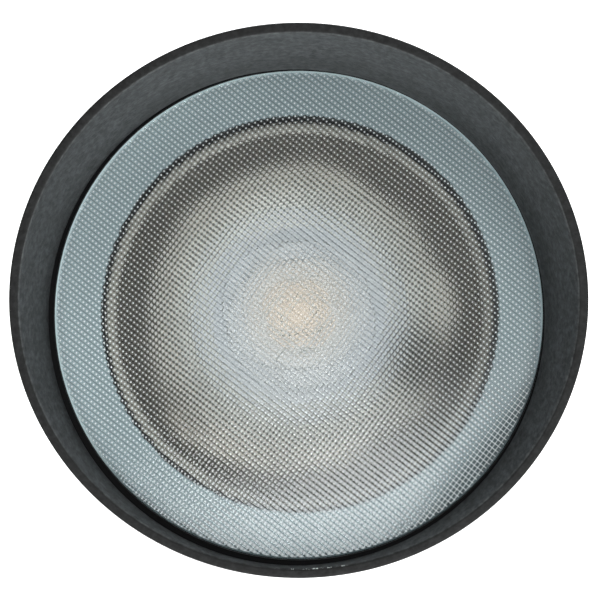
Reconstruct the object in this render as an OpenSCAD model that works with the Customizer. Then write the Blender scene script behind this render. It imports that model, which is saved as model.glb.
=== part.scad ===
// Landscape flood light: a finned head with a slanted glare hood, on a tilting and swivelling knuckle
// Millimetres. +Z is up the stem, z = 0 is the face of the hub that the stem is screwed into,
// and at rest the head looks towards -Y and up.
// Inside the head, +Z runs out along the lens axis from the front face of the glass,
// and +Y is the top of the head.

/* [Aim] */
// Angle of the lens axis above level at rest, degrees
head_elevation = 45; // [10:5:80]

/* [Hood] */
// How far the hood's rim reaches out past the collar
rim_flare = 5.5; // [4:0.1:12]
// Width of the rim's flat face, which is the hood's wall at the rim
rim_w = 2.6; // [2:0.1:4]
// Slant of the rim against the glass, degrees
rim_tilt = 16.8; // [10:0.2:18]
// Distance of the rim's centre in front of the glass
rim_out = 27; // [25:0.5:45]
// How far the rim's centre lies above the lens axis
rim_rise = 2.35; // [0:0.05:4]
// Width from the clear glass out to the outside of the collar and of the housing's flange
collar_w = 4.5; // [4.2:0.1:6]
// Depth of the collar behind the front face of the glass
collar_back = 6; // [5.5:0.1:8]

/* [Lens] */
// Radius of the glass that shows inside the gasket
lens_clear_r = 65; // [60:0.1:65.2]
// Thickness of the glass
lens_t = 4; // [3:0.1:4.2]
// Width of the gasket's lip over the glass
gasket_lip = 1.5; // [1:0.1:1.5]
// Thickness of the gasket's lips and of its wall
gasket_t = 1; // [0.8:0.05:1]
// Width of the gasket that shows between the glass and the hood
gasket_show = 1.3; // [0.8:0.1:1.4]

/* [Reflector] */
// Inner radius of the flat ring behind the glass
ring_hole_r = 52.7; // [50:0.1:55]
// Thickness of the ring
ring_t = 1.6; // [1:0.1:2]
// Width of the ledge that the ring sits on
ring_seat = 4.5; // [3:0.1:6]
// Gap between the ring's hole and the bowl's edge
bowl_gap = 0.8; // [0.3:0.05:1.5]
// Depth from the ring down to the bowl's edge
bowl_drop = 0.4; // [0.3:0.1:1]
// Inner radius of the bowl's foot
bowl_foot_r = 27.5; // [24:0.1:29]
// Sheet thickness of the bowl
bowl_t = 0.8; // [0.6:0.1:1.2]
// Width of the bowl's foot flange
bowl_flange = 3.5; // [2.5:0.1:4]
// Depth of the bowl from its edge to its foot
bowl_deep = 36; // [30:0.5:42]
// Thickness of the white sheet on the bowl's floor
sheet_t = 0.6; // [0.4:0.1:1]

/* [Light source] */
// Radius of the phosphor disc
emitter_r = 6.6; // [5:0.1:8]
// Height of the phosphor disc
emitter_t = 0.8; // [0.4:0.1:1]
// Side of the square board
board_side = 19; // [16:0.5:21]
// Thickness of the board
board_t = 1.2; // [1:0.1:1.6]
// Thickness of the thermal pad
pad_t = 0.5; // [0.3:0.1:0.8]
// Outer radius of the holder
holder_r = 17.5; // [17:0.1:20]
// Radius of the holder's window
holder_window_r = 8.6; // [8.2:0.1:9]
// Height of the holder
holder_t = 3.4; // [3:0.1:5]
// Distance from the axis to each lead and each screw of the holder
holder_reach = 15; // [14.8:0.1:15.2]
// Radius of a lead over its insulation
lead_r = 0.95; // [0.7:0.05:1]
// Wall of the grommet round a lead
grommet_wall = 1; // [0.6:0.1:1.2]

/* [Housing] */
// Thickness of the cast wall
wall = 3; // [2.5:0.1:4]
// Thickness of the flange behind the hood
flange_t = 6; // [5:0.5:8]
// Number of fins
fin_count = 28; // [20:1:32]
// Thickness of a fin
fin_t = 2.4; // [1.8:0.1:3]
// How far the fins' front ends lie inside the flange's edge
fin_front_inset = 3; // [1.5:0.5:7]
// How far the fins stand out of the core at the back
fin_back_h = 4; // [2:0.5:7]
// Thickness of the plate that carries the light source
plate_t = 5; // [4:0.5:6]
// Radius of that plate
plate_r = 43.5; // [42:0.1:44]
// Radius of the room for the driver
driver_room_r = 36; // [34:0.5:38]
// Depth of the room for the driver
driver_room_deep = 36; // [32:0.5:40]
// Side of the driver
driver_side = 44; // [36:0.5:46]
// Height of the driver
driver_h = 24; // [18:0.5:26]
// Height of the bosses under the driver
driver_boss_h = 4; // [3:0.5:5]
// Radius of the vent plug's head
vent_r = 5; // [4:0.1:6]

/* [Screws] */
// Radius of the screws that hold the hood
hood_screw_r = 1.75; // [1.5:0.05:1.9]
// How far the hood screws' axes lie outside the collar's edge
hood_screw_out = 0.8; // [0.7:0.1:1]
// Radius of the small screws inside
small_screw_r = 1.5; // [1.2:0.05:1.6]
// Length of a hood screw under its head
hood_screw_l = 13; // [11:0.5:13.5]

/* [Knuckle] */
// Radius of the two knuckle discs
knuckle_r = 17; // [16:0.5:18]
// Width of each knuckle half
knuckle_half_w = 14; // [13.5:0.5:16]
// Radius of the necks above and below the discs
neck_r = 14; // [12:0.5:15]
// Distance from the glass back to the tilt pivot
pivot_back = 119; // [117:0.5:130]
// Height of the tilt pivot above the hub
pivot_height = 74; // [68:0.5:95]
// Radius of the pivot bolt
bolt_r = 4; // [3:0.1:4.5]
// Radius of the pivot bolt's head
bolt_head_r = 6.5; // [6:0.1:7]
// Height of the pivot bolt's head
bolt_head_t = 5; // [4:0.1:6]
// Thickness of the spring washer
washer_t = 1.4; // [1:0.1:2]
// Inner radius of the round way for the leads in each hinge face
lead_way_in_r = 6.2; // [5.8:0.1:6.5]
// Outer radius of that way
lead_way_out_r = 10.8; // [10:0.1:11]
// Depth of that way
lead_way_deep = 4.5; // [3:0.5:5]
// Radius of the way for the leads in the neck and in the arm
lead_bore_r = 4.2; // [3.5:0.1:4.5]
// Radius of the middle of the knuckle's sealing ring
seal_r = 13.6; // [13:0.1:14]
// Radius of the sealing ring's section
seal_section_r = 1; // [0.8:0.05:1.1]

/* [Stem] */
// Radius over the thread, half-inch straight pipe thread
thread_r = 10.6; // [10:0.05:11]
// Length of thread that goes into the hub
thread_l = 14; // [10:0.5:20]
// Radius of the way for the leads through the stem
stem_bore_r = 6.8; // [5.5:0.1:7]
// Radius of the stem's spigot inside the arm
spigot_r = 9.6; // [9.4:0.05:10]
// Length of the spigot
spigot_l = 21; // [19:0.5:24]
// Radius of the stem's shoulder
shoulder_r = 13; // [12.5:0.1:14]
// Thickness of the stem's shoulder
shoulder_t = 3; // [2:0.5:4]
// Thickness of the rubber washer on the hub
gasket_washer_t = 2; // [1:0.1:3]
// Outer radius of the rubber washer
gasket_washer_r = 16.5; // [15:0.5:20]
// Thickness of the locknut
nut_t = 5; // [4:0.5:7]
// Distance across the locknut's flats
nut_flats = 28; // [26:0.5:30]
// Thread left bare between the locknut and the shoulder
thread_bare = 3; // [2:0.5:6]
// Radius of the arm's foot
arm_foot_r = 16; // [15:0.5:18]
// Radius of the set screw that holds the arm on the stem
set_screw_r = 2.5; // [2:0.1:3]

/* [Clearances] */
// Radial clearance of a shaft that turns in a hole
run_gap = 0.05; // [0.02:0.01:0.09]
// Clearance between faces that turn past each other
face_gap = 0.3; // [0.2:0.05:0.4]
// Clearance round a screw in a through hole
screw_gap = 0.3; // [0.2:0.05:0.4]

/* [Hidden] */
$fn = 96;

// A sliver by which a cut passes the face it opens, how far a blind hole goes past its screw,
// and the sides of the slanted hood's circles
cut = 0.02;
hole_end = 1;
hood_fn = 48;

// Glass, gasket and hood, out from the lens axis
lens_r = lens_clear_r + gasket_lip;
gasket_r = lens_r + gasket_t;
foot_r = lens_clear_r + gasket_show;
collar_r = lens_clear_r + collar_w;
rim_r = collar_r + rim_flare;
hood_screw_reach = collar_r + hood_screw_out;
rim_in_r = rim_r - rim_w;
collar_front = 4;
boss_r = 3.8;
boss_front = 8;
boss_tip = 5;
boss_l = collar_back + boss_front;
edge = 0.8;
hood_screw_head_r = 3;
hood_screw_head_t = 3;

// The lugs stop short of the joint face, and each screw's head sits in a spot face
lug_gap = 0.2;
spot_deep = 0.3;
spot_r = hood_screw_head_r + 0.3;

// Levels along the lens axis, from the glass backwards
gasket_back = -lens_t - gasket_t;
flange_front = -collar_back;
flange_back = flange_front - flange_t;
ring_front = gasket_back - 1.4;
ring_back = ring_front - ring_t;
bowl_top = ring_back - bowl_drop;
bowl_base = bowl_top - bowl_deep;
sheet_top = bowl_base - bowl_t;
plate_top = sheet_top - sheet_t;
plate_back = plate_top - plate_t;
board_top = plate_top + pad_t + board_t;
holder_top = plate_top + holder_t;
driver_floor = plate_back - driver_room_deep;
housing_back = driver_floor - wall;
driver_back = driver_floor + driver_boss_h;
driver_front = driver_back + driver_h;

// Radii inside the housing
ring_r = lens_clear_r + 0.4;
ring_room_r = ring_r + 0.2;
spigot_out_r = gasket_r - 0.2;
bowl_edge_r = ring_hole_r - bowl_gap;
bowl_lip_w = 2.6;
plate_room_r = plate_r + 0.3;
sheet_r = bowl_foot_r + bowl_flange;
sheet_hole_r = holder_r + 0.3;
plate_screw_reach = plate_r - 4;
plate_screw_l = 11;
ledge_t = plate_screw_l - plate_t + 3;
plate_screw_angles = [45, 135, 225, 315];
driver_screw_reach = driver_side / 2 + 3.4;
driver_ear_t = 2;
driver_ear_w = 8;
driver_screw_l = 5;
holder_head_r = 2.4;
holder_head_t = 1.4;
holder_bite = 4;

// Leads, grommets and seal, the seal's plug filling the mouth of the way down the neck
lead_top = holder_top - 1.2;
grommet_rim_t = 1;
seal_plug_l = 4;
seal_rim = 1.5;
seal_lead_y = 1.8;

// Outside of the cast core, the vent plug's place in its back, and the plug
core_waist_r = plate_room_r + wall;
core_back_r = driver_room_r + wall;
fin_front_r = collar_r - fin_front_inset;
fin_back_r = core_back_r + fin_back_h;
vent_angle = 150;
vent_reach = core_back_r - vent_r - 6;
vent_thread_r = 0.6 * vent_r;
vent_head_t = 2.5;
vent_socket_deep = 1.5;

// Small fasteners: a pan head and a socket, as shares of the shank
function head_r(shank_r) = 1.85 * shank_r;
function head_t(shank_r) = 1.2 * shank_r;
function drive_r(shank_r) = 0.8 * shank_r;

// The gaps between fins that lie nearest the angles where the hood's screws go
fin_pitch = 360 / fin_count;
function gap_angle(a) = (floor(a / fin_pitch) + 0.5) * fin_pitch;
hood_screw_angles = [for (a = [45, 135, 200, 340]) gap_angle(a)];

// Knuckle and stem
half_gap = face_gap / 2;
neck_step = 0.6;
neck_clear = knuckle_r + face_gap;
washer_r = bolt_head_r + 0.5;
counterbore_r = washer_r + 0.4;
counterbore_floor = knuckle_half_w - bolt_head_t - washer_t - 0.4;
way_x = lead_bore_r + half_gap + 1.4;
way_start = (lead_way_in_r + lead_way_out_r) / 2;
groove_w = 2.6 * seal_section_r;
nut_bottom = gasket_washer_t;
nut_top = nut_bottom + nut_t;
shoulder_bottom = nut_top + thread_bare;
shoulder_top = shoulder_bottom + shoulder_t;
spigot_top = shoulder_top + spigot_l;
arm_bottom = shoulder_top + face_gap;
arm_foot_t = 19;
arm_neck_top = pivot_height - neck_clear - arm_bottom;
relief_l = 1.4;
relief_depth = 0.7;
swivel_groove_w = 3;
swivel_groove_depth = 1.2;
swivel_groove_z = shoulder_top + 9;
swivel_tip_r = 1.2;
oring_section_r = 0.9;
swivel_oring_z = spigot_top - 4;

// Places the head's own frame: lens axis along +Z, front of the glass at the origin
module in_head() {
    translate([0, 0, pivot_height])
        rotate([90 - head_elevation, 0, 0])
            translate([0, 0, pivot_back])
                children();
}

// Turns a shape drawn along +Z so that it lies along +X
module along_x() {
    rotate([0, 90, 0])
        children();
}

// Copies a shape to a reach from the lens axis at each angle
module at_angles(angles, reach) {
    for (a = angles)
        rotate([0, 0, a])
            translate([reach, 0, 0])
                children();
}

// A screw with its head's seat at the origin and its shank along +Z, with a hexagon socket
module socket_screw(shank_r, length, cap_r, cap_t) {
    difference() {
        union() {
            cylinder(r = shank_r, h = length);
            translate([0, 0, -cap_t])
                cylinder(r = cap_r, h = cap_t);
        }
        translate([0, 0, -cap_t - cut])
            cylinder(r = drive_r(shank_r), h = 0.6 * cap_t, $fn = 6);
    }
}

// A ring of round section
module oring(r, section_r) {
    rotate_extrude()
        translate([r, 0])
            circle(r = section_r, $fn = 32);
}

// A disc that lies in the plane of the hood's slanted rim
module rim_disc(r, from, to) {
    translate([0, rim_rise, rim_out])
        rotate([rim_tilt, 0, 0])
            translate([0, 0, from])
                cylinder(r = r, h = to - from, $fn = hood_fn);
}

// Hood: collar round the glass, and a wall that widens to the slanted rim
module hood() {
    color([0.17, 0.18, 0.185])
    in_head()
    difference() {
        union() {
            rotate_extrude()
                polygon([
                    [0, flange_front], [collar_r - edge, flange_front], [collar_r, flange_front + edge],
                    [collar_r, collar_front], [0, collar_front]
                ]);
            hull() {
                translate([0, 0, collar_front / 2])
                    cylinder(r = collar_r - 0.1, h = cut, $fn = hood_fn);
                rim_disc(rim_r, -rim_w, 0);
            }
            translate([0, 0, flange_front])
                at_angles(hood_screw_angles, hood_screw_reach)
                    rotate_extrude()
                        polygon([
                            [0, 0], [boss_r, 0], [boss_r, boss_l], [0.4 * boss_r, boss_l + boss_tip],
                            [0, boss_l + boss_tip]
                        ]);
        }
        translate([0, 0, flange_front - cut])
            cylinder(r = gasket_r, h = collar_back + gasket_t + cut);
        hull() {
            translate([0, 0, gasket_t - cut])
                cylinder(r = foot_r, h = cut, $fn = hood_fn);
            rim_disc(rim_in_r, 0, 1);
        }
        translate([0, 0, flange_front - cut])
            at_angles(hood_screw_angles, hood_screw_reach)
                cylinder(r = hood_screw_r + run_gap, h = hood_screw_l - flange_t + spot_deep + hole_end);
    }
}

module lens() {
    color([0.78, 0.84, 0.86, 0.5])
    in_head()
        translate([0, 0, -lens_t])
            cylinder(r = lens_r, h = lens_t);
}

// Channel ring that grips the edge of the glass
module lens_gasket() {
    color([0.06, 0.06, 0.065])
    in_head()
        rotate_extrude()
            polygon([
                [lens_clear_r, gasket_t], [lens_clear_r, 0], [lens_r, 0], [lens_r, -lens_t],
                [lens_clear_r, -lens_t], [lens_clear_r, gasket_back], [gasket_r, gasket_back],
                [gasket_r, gasket_t]
            ]);
}

module hood_screws() {
    color([0.55, 0.55, 0.56])
    in_head()
        translate([0, 0, flange_back + spot_deep])
            at_angles(hood_screw_angles, hood_screw_reach)
                socket_screw(hood_screw_r, hood_screw_l, hood_screw_head_r, hood_screw_head_t);
}

module reflector_ring() {
    color([0.72, 0.78, 0.8])
    in_head()
        translate([0, 0, ring_back])
            difference() {
                cylinder(r = ring_r, h = ring_t);
                translate([0, 0, -cut])
                    cylinder(r = ring_hole_r, h = ring_t + 2 * cut);
            }
}

// Radius of the bowl's inner face, from 0 at its foot to 1 at its edge: a steepening curve
function bowl_r(t) = bowl_foot_r + (bowl_edge_r - bowl_lip_w - bowl_foot_r) * pow(t, 0.85);
bowl_steps = 10;
bowl_in = [for (i = [0:bowl_steps]) [bowl_r(i / bowl_steps), bowl_base + bowl_deep * i / bowl_steps]];
bowl_out = [for (i = [bowl_steps:-1:0]) [bowl_in[i][0] + 1.2 * bowl_t, bowl_in[i][1] - bowl_t]];

// Bowl with a rolled lip at its edge and a flange at its foot
module reflector_bowl() {
    color([0.7, 0.71, 0.72])
    in_head()
        rotate_extrude()
            polygon(concat(
                [[bowl_foot_r, bowl_base - bowl_t]],
                bowl_in,
                [[bowl_edge_r, bowl_top], [bowl_edge_r, bowl_top - bowl_t]],
                bowl_out,
                [[sheet_r, bowl_base - 0.1], [sheet_r, bowl_base - bowl_t]]
            ));
}

module reflector_sheet() {
    color([0.9, 0.92, 0.93])
    in_head()
        translate([0, 0, plate_top])
            difference() {
                cylinder(r = sheet_r, h = sheet_t);
                translate([0, 0, -cut])
                    cylinder(r = sheet_hole_r, h = sheet_t + 2 * cut);
            }
}

// Clamp ring: a window for the phosphor, a pocket for the board, two screw holes and two ways for leads
module cob_holder() {
    color([0.93, 0.93, 0.91])
    in_head()
        translate([0, 0, plate_top])
            difference() {
                cylinder(r = holder_r, h = holder_t);
                translate([0, 0, -cut])
                    cylinder(r = holder_window_r, h = holder_t + 2 * cut);
                translate([0, 0, (pad_t + board_t) / 2])
                    cube([board_side + 0.2, board_side + 0.2, pad_t + board_t + cut], center = true);
                at_angles([90, 270], holder_reach)
                    translate([0, 0, -cut])
                        cylinder(r = small_screw_r + 0.1, h = holder_t + 2 * cut);
                at_angles([0, 180], holder_reach)
                    translate([0, 0, -cut])
                        cylinder(r = lead_r + 0.2, h = holder_t - 1);
            }
}

module holder_screws() {
    color([0.7, 0.7, 0.7])
    in_head()
        translate([0, 0, holder_top])
            at_angles([90, 270], holder_reach)
                rotate([180, 0, 0])
                    socket_screw(small_screw_r, holder_t + holder_bite, holder_head_r, holder_head_t);
}

module led_board() {
    color([0.85, 0.85, 0.83])
    in_head()
        translate([-board_side / 2, -board_side / 2, plate_top + pad_t])
            cube([board_side, board_side, board_t]);
}

module led_emitter() {
    color([0.95, 0.78, 0.3])
    in_head()
        translate([0, 0, board_top])
            cylinder(r = emitter_r, h = emitter_t);
}

module thermal_pad() {
    color([0.5, 0.55, 0.6])
    in_head()
        translate([-board_side / 2, -board_side / 2, plate_top])
            cube([board_side, board_side, pad_t]);
}

module spreader_plate() {
    color([0.75, 0.76, 0.77])
    in_head()
        translate([0, 0, plate_back])
            difference() {
                cylinder(r = plate_r, h = plate_t);
                at_angles(plate_screw_angles, plate_screw_reach)
                    translate([0, 0, -cut])
                        cylinder(r = small_screw_r + screw_gap, h = plate_t + 2 * cut);
                at_angles([90, 270], holder_reach)
                    translate([0, 0, plate_t - holder_bite - hole_end / 2])
                        cylinder(r = small_screw_r + run_gap, h = plate_t);
                at_angles([0, 180], holder_reach)
                    translate([0, 0, -cut])
                        cylinder(r = lead_r + grommet_wall, h = plate_t + 2 * cut);
            }
}

module plate_screws() {
    color([0.7, 0.7, 0.7])
    in_head()
        translate([0, 0, plate_top])
            at_angles(plate_screw_angles, plate_screw_reach)
                rotate([180, 0, 0])
                    socket_screw(
                        small_screw_r, plate_screw_l, head_r(small_screw_r), head_t(small_screw_r));
}

// Potted driver with an ear on each of two sides
module driver_module() {
    color([0.12, 0.12, 0.13])
    in_head()
        translate([0, 0, driver_back])
            difference() {
                union() {
                    translate([-driver_side / 2, -driver_side / 2, 0])
                        cube([driver_side, driver_side, driver_h]);
                    at_angles([90, 270], 0)
                        translate([0, -driver_ear_w / 2, 0])
                            cube([driver_screw_reach + driver_ear_w / 2, driver_ear_w, driver_ear_t]);
                }
                at_angles([90, 270], driver_screw_reach)
                    translate([0, 0, -cut])
                        cylinder(r = small_screw_r + screw_gap, h = driver_ear_t + 2 * cut);
            }
}

module driver_screws() {
    color([0.7, 0.7, 0.7])
    in_head()
        translate([0, 0, driver_back + driver_ear_t])
            at_angles([90, 270], driver_screw_reach)
                rotate([180, 0, 0])
                    socket_screw(
                        small_screw_r, driver_screw_l, head_r(small_screw_r), head_t(small_screw_r));
}

// A lead from the driver up through the plate into the holder, on one side of the lens axis
module lead(side) {
    in_head()
        translate([side * holder_reach, 0, driver_front])
            cylinder(r = lead_r, h = lead_top - driver_front);
}

module lead_red() {
    color([0.7, 0.08, 0.06])
        lead(1);
}

module lead_black() {
    color([0.05, 0.05, 0.05])
        lead(-1);
}

module lead_grommets() {
    color([0.1, 0.1, 0.1])
    in_head()
        translate([0, 0, plate_back - grommet_rim_t])
            at_angles([0, 180], holder_reach)
                difference() {
                    union() {
                        cylinder(r = lead_r + grommet_wall, h = plate_t + grommet_rim_t);
                        cylinder(r = lead_r + 2 * grommet_wall, h = grommet_rim_t);
                    }
                    translate([0, 0, -cut])
                        cylinder(r = lead_r, h = plate_t + grommet_rim_t + 2 * cut);
                }
}

// Radius of a fin's outer edge, from 0 at the flange to 1 at the back
function fin_r(t) = fin_back_r + (fin_front_r - fin_back_r) * pow(1 - pow(t, 2.2), 0.75);
fin_steps = 10;
fin_edge = [for (i = [0:fin_steps])
    [fin_r(i / fin_steps), flange_back + 1 + (housing_back + wall - flange_back - 1) * i / fin_steps]];

// Outside of the cast body, without fins
core_profile = [
    [0, gasket_back], [spigot_out_r, gasket_back], [spigot_out_r, flange_front],
    [collar_r - edge, flange_front], [collar_r, flange_front - edge],
    [collar_r, flange_back + edge], [collar_r - edge, flange_back], [ring_r - 2, flange_back - 3],
    [core_waist_r, plate_top + 2], [core_waist_r, plate_back - ledge_t],
    [core_back_r, plate_back - ledge_t - 5], [core_back_r, housing_back + 4],
    [core_back_r - 4, housing_back], [neck_r, housing_back],
    [neck_r, neck_clear - pivot_back], [0, neck_clear - pivot_back]
];

// Room inside the cast body: ring seat, bowl, plate and driver
room_profile = [
    [0, gasket_back + 1], [ring_room_r, gasket_back + 1], [ring_room_r, ring_back],
    [ring_room_r - ring_seat, ring_back], [ring_room_r - ring_seat - 1.5, ring_back - 8],
    [plate_room_r, plate_top + 1], [plate_room_r, plate_back], [driver_room_r, plate_back],
    [driver_room_r, driver_floor], [0, driver_floor]
];

// Half of the knuckle that lies on the +X side: a disc on the pivot,
// and a cheek that runs up into the neck
module knuckle_half() {
    intersection() {
        union() {
            translate([half_gap, 0, 0])
                along_x()
                    cylinder(r = knuckle_r, h = knuckle_half_w - half_gap);
            cylinder(r = neck_r - neck_step, h = neck_clear + neck_step);
        }
        translate([half_gap, -knuckle_r - 1, -knuckle_r - 1])
            cube([knuckle_r + neck_r, 2 * knuckle_r + 2, neck_clear + knuckle_r + 2]);
    }
}

// Ring-shaped way for the leads in a hinge face, on the +X side
module lead_way() {
    translate([half_gap - cut, 0, 0])
        along_x()
            difference() {
                cylinder(r = lead_way_out_r, h = lead_way_deep);
                translate([0, 0, -cut])
                    cylinder(r = lead_way_in_r, h = lead_way_deep + 2 * cut);
            }
}

// Flange, core, fins and screw lugs, hollowed for the ring, bowl, plate and driver
module housing_shell() {
    difference() {
        union() {
            rotate_extrude()
                polygon(core_profile);
            for (i = [0:fin_count - 1])
                rotate([90, 0, i * fin_pitch])
                    linear_extrude(height = fin_t, center = true)
                        polygon(concat(
                            fin_edge,
                            [[core_back_r - 2, housing_back + wall], [core_back_r - 2, flange_back + 1]]
                        ));
            translate([0, 0, flange_back])
                at_angles(hood_screw_angles, hood_screw_reach)
                    cylinder(r = boss_r, h = flange_t - lug_gap);
        }
        rotate_extrude()
            polygon(room_profile);
        translate([0, 0, plate_back - ledge_t + 2])
            at_angles(plate_screw_angles, plate_screw_reach)
                cylinder(r = small_screw_r + run_gap, h = ledge_t);
        translate([0, 0, flange_back - cut])
            at_angles(hood_screw_angles, hood_screw_reach)
                cylinder(r = hood_screw_r + screw_gap, h = flange_t + 2 * cut);
        translate([0, 0, flange_back - hood_screw_head_t])
            at_angles(hood_screw_angles, hood_screw_reach)
                cylinder(r = spot_r, h = hood_screw_head_t + spot_deep);
        rotate([0, 0, vent_angle])
            translate([vent_reach, 0, housing_back - cut])
                cylinder(r = vent_thread_r + run_gap, h = wall + 2 * cut);
    }
}

// Bosses on the floor of the driver's room
module driver_bosses() {
    at_angles([90, 270], driver_screw_reach)
        translate([0, 0, driver_floor - wall / 2])
            difference() {
                cylinder(r = 2 * small_screw_r, h = driver_boss_h + wall / 2);
                translate([0, 0, wall / 2 + 0.5])
                    cylinder(r = small_screw_r + run_gap, h = driver_boss_h);
            }
}

// Groove for the sealing ring in the head's hinge face
module seal_groove() {
    translate([half_gap - cut, 0, 0])
        along_x()
            difference() {
                cylinder(r = seal_r + groove_w / 2, h = 2 * seal_section_r - half_gap + run_gap + cut);
                translate([0, 0, -cut])
                    cylinder(r = seal_r - groove_w / 2, h = 2 * seal_section_r + 2 * cut);
            }
}

// Housing: finned shell, driver bosses, neck and its half of the knuckle
module housing() {
    color([0.17, 0.18, 0.185])
    in_head()
    difference() {
        union() {
            housing_shell();
            driver_bosses();
            translate([0, 0, -pivot_back])
                knuckle_half();
        }
        translate([0, 0, -pivot_back]) {
            lead_way();
            seal_groove();
            translate([way_x, 0, way_start])
                cylinder(r = lead_bore_r, h = pivot_back + driver_floor - way_start + cut);
            along_x()
                cylinder(r = bolt_r + run_gap, h = knuckle_r);
            translate([counterbore_floor, 0, 0])
                along_x()
                    cylinder(r = counterbore_r, h = knuckle_r);
        }
    }
}

module vent_plug() {
    color([0.08, 0.08, 0.09])
    in_head()
        rotate([0, 0, vent_angle])
            translate([vent_reach, 0, housing_back])
                difference() {
                    union() {
                        cylinder(r = vent_thread_r, h = wall - hole_end / 2);
                        translate([0, 0, -vent_head_t])
                            cylinder(r = vent_r, h = vent_head_t);
                    }
                    translate([0, 0, -vent_head_t - cut])
                        cylinder(r = 0.4 * vent_r, h = vent_socket_deep);
                }
}

// Grommet in the mouth of the way for the supply leads, with two lead holes
module wire_seal() {
    color([0.1, 0.1, 0.1])
    in_head()
        translate([way_x, 0, driver_floor])
            difference() {
                union() {
                    translate([0, 0, -seal_plug_l])
                        cylinder(r = lead_bore_r, h = seal_plug_l);
                    cylinder(r = lead_bore_r + seal_rim, h = seal_rim);
                }
                for (side = [-1, 1])
                    translate([0, seal_lead_y * side, -seal_plug_l - cut])
                        cylinder(r = lead_r, h = seal_plug_l + seal_rim + 2 * cut);
            }
}

module knuckle_oring() {
    color([0.06, 0.06, 0.06])
    in_head()
        translate([seal_section_r - half_gap + run_gap, 0, -pivot_back])
            along_x()
                oring(seal_r, seal_section_r);
}

// Arm: the lower half of the knuckle, turned over to the -X side, on a hollow post with a wide foot
module arm() {
    color([0.17, 0.18, 0.185])
    difference() {
        union() {
            translate([0, 0, pivot_height])
                rotate([0, 180, 0])
                    knuckle_half();
            translate([0, 0, arm_bottom])
                rotate_extrude()
                    polygon([
                        [0, 0], [arm_foot_r - 1, 0], [arm_foot_r, 1], [arm_foot_r, arm_foot_t - 3],
                        [neck_r, arm_foot_t], [neck_r, arm_neck_top], [0, arm_neck_top]
                    ]);
        }
        translate([0, 0, arm_bottom - cut])
            cylinder(r = spigot_r + run_gap, h = spigot_l + 1);
        translate([-way_x, 0, arm_bottom + spigot_l])
            cylinder(r = lead_bore_r, h = pivot_height - way_start - arm_bottom - spigot_l);
        translate([0, 0, pivot_height])
            rotate([0, 180, 0]) {
                lead_way();
                along_x()
                    cylinder(r = bolt_r + run_gap, h = knuckle_half_w - 2);
            }
        translate([0, 0, swivel_groove_z])
            rotate([-90, 0, 0])
                cylinder(r = set_screw_r + run_gap, h = arm_foot_r + cut);
    }
}

module knuckle_bolt() {
    color([0.55, 0.55, 0.56])
        translate([counterbore_floor + washer_t + 2 * run_gap, 0, pivot_height])
            rotate([0, -90, 0])
                socket_screw(
                    bolt_r, counterbore_floor + washer_t + knuckle_half_w - 3, bolt_head_r, bolt_head_t);
}

module knuckle_washer() {
    color([0.6, 0.6, 0.61])
        translate([counterbore_floor + 2 * run_gap, 0, pivot_height])
            along_x()
                difference() {
                    cylinder(r = washer_r, h = washer_t);
                    translate([0, 0, -cut])
                        cylinder(r = bolt_r + 0.2, h = washer_t + 2 * cut);
                }
}

// Set screw from the back of the arm's foot, its tip in the stem's groove
module swivel_screw() {
    tip = spigot_r - swivel_groove_depth + 2 * run_gap;
    shank = spigot_r + 0.4;
    color([0.3, 0.3, 0.31])
        translate([0, 0, swivel_groove_z])
            rotate([-90, 0, 0])
                difference() {
                    union() {
                        translate([0, 0, tip])
                            cylinder(r = swivel_tip_r, h = shank - tip + cut);
                        translate([0, 0, shank])
                            cylinder(r = set_screw_r, h = arm_foot_r - 0.8 - shank);
                    }
                    translate([0, 0, arm_foot_r - 3])
                        cylinder(r = 0.55 * set_screw_r, h = 3, $fn = 6);
                }
}

// Hollow stem: thread, shoulder and the spigot that the arm turns on
module stem_nipple() {
    color([0.55, 0.5, 0.4])
    rotate_extrude()
        polygon([
            [stem_bore_r, -thread_l], [thread_r - 1, -thread_l], [thread_r, 1 - thread_l], [thread_r, 0],
            [thread_r - relief_depth, 0], [thread_r - relief_depth, relief_l], [thread_r, relief_l],
            [thread_r, shoulder_bottom], [shoulder_r, shoulder_bottom], [shoulder_r, shoulder_top],
            [spigot_r, shoulder_top], [spigot_r, swivel_groove_z - swivel_groove_w / 2],
            [spigot_r - swivel_groove_depth, swivel_groove_z - swivel_groove_w / 2],
            [spigot_r - swivel_groove_depth, swivel_groove_z + swivel_groove_w / 2],
            [spigot_r, swivel_groove_z + swivel_groove_w / 2], [spigot_r, swivel_oring_z - 1.2],
            [spigot_r - 2 * oring_section_r, swivel_oring_z - 1.2],
            [spigot_r - 2 * oring_section_r, swivel_oring_z + 1.2], [spigot_r, swivel_oring_z + 1.2],
            [spigot_r, spigot_top], [stem_bore_r, spigot_top]
        ]);
}

module swivel_oring() {
    color([0.06, 0.06, 0.06])
        translate([0, 0, swivel_oring_z])
            oring(spigot_r - oring_section_r, oring_section_r);
}

module locknut() {
    color([0.6, 0.58, 0.5])
        translate([0, 0, nut_bottom])
            difference() {
                intersection() {
                    cylinder(r = nut_flats / 2 / cos(30), h = nut_t, $fn = 6);
                    cylinder(r1 = nut_flats / 2 + 3, r2 = nut_flats / 2 + 0.4, h = nut_t);
                }
                translate([0, 0, -cut])
                    cylinder(r = thread_r + run_gap, h = nut_t + 2 * cut);
            }
}

module stem_gasket() {
    color([0.07, 0.07, 0.07])
        difference() {
            cylinder(r = gasket_washer_r, h = gasket_washer_t);
            translate([0, 0, -cut])
                cylinder(r = thread_r + run_gap, h = gasket_washer_t + 2 * cut);
        }
}

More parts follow.
